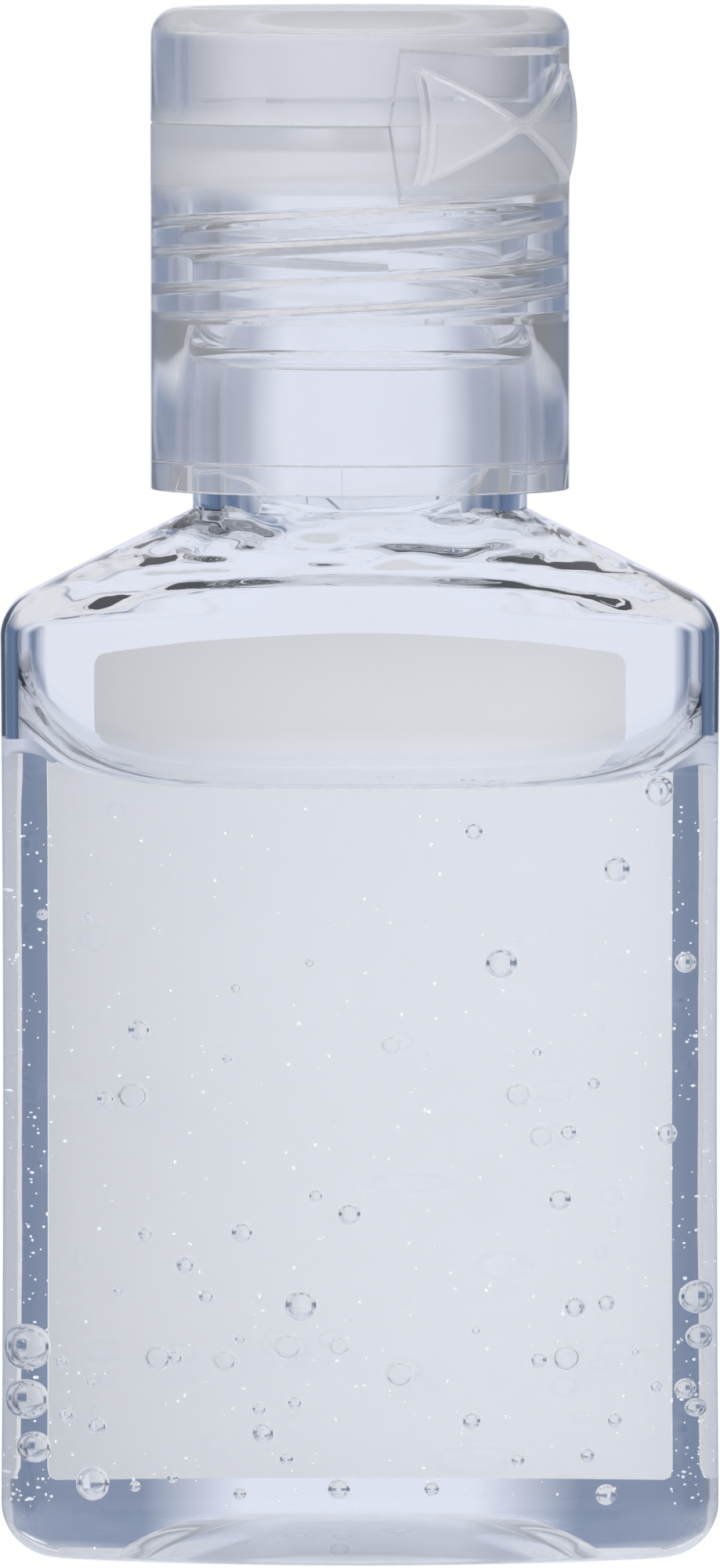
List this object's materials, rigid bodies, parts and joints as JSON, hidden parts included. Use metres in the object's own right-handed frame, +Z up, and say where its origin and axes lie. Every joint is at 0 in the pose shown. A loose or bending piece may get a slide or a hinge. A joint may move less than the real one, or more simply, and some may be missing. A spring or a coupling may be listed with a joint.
{
  "type": "hand sanitizer bottle",
  "caption": "Pocket-size clear flat oval bottle of gel with a milky flip-top screw cap and a blank label on its back.",
  "frame": {"origin": "middle of the foot, on the surface that the bottle stands on", "axes": "+Z up through the neck, the front faces -Y, +X towards the bottle's right as the front is seen"},
  "size_m": [0.0342, 0.0209, 0.0739],
  "materials": {
    "clear_pet": "glossy clear blown plastic",
    "clear_gel": "clear gel with air bubbles",
    "label_film": "pale film with a satin face",
    "milky_plastic": "milky moulded plastic, smooth"
  },
  "bodies": {
    "bottle": {"bottle": "clear_pet", "gel": "clear_gel", "back_label": "label_film"},
    "cap": {"cap_base": "milky_plastic"},
    "lid": {"cap_lid": "milky_plastic"}
  },
  "joints": [
    {"name": "cap_turn", "type": "hinge", "parent": "bottle", "child": "cap", "pos_m": [0, 0, 0.0684], "axis": [0, 0, 1], "range_deg": [0, 540]},
    {"name": "lid_flip", "type": "hinge", "parent": "cap", "child": "lid", "pos_m": [0.00778, -0.00713, 0.0684], "axis": [0.6756, 0.7373, 0], "range_deg": [0, 130]}
  ]
}
